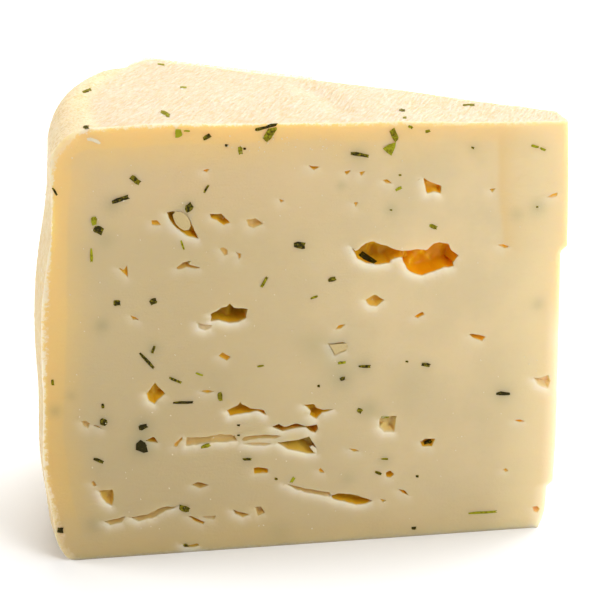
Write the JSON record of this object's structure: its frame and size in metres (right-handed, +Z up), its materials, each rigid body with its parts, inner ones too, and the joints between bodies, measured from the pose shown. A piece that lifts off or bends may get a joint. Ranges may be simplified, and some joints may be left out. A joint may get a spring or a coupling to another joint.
{
  "type": "herb cheese wedge",
  "caption": "Wedge of a round semi-hard herb cheese with eyes and cracks in its cut face, standing on its bottom rind; prop food for a board, plate or shop counter.",
  "frame": {"origin": "centre of the wedge's box, at the flat bottom rind that it stands on", "axes": "+Z up, +X from the rim to the blunt tip, -Y out of the front cut face"},
  "size_m": [0.1084, 0.0712, 0.0907],
  "materials": {
    "cheese": "satin, slightly translucent ivory paste with a pale rind"
  },
  "bodies": {
    "root": {"cheese_wedge": "cheese"}
  },
  "joints": []
}
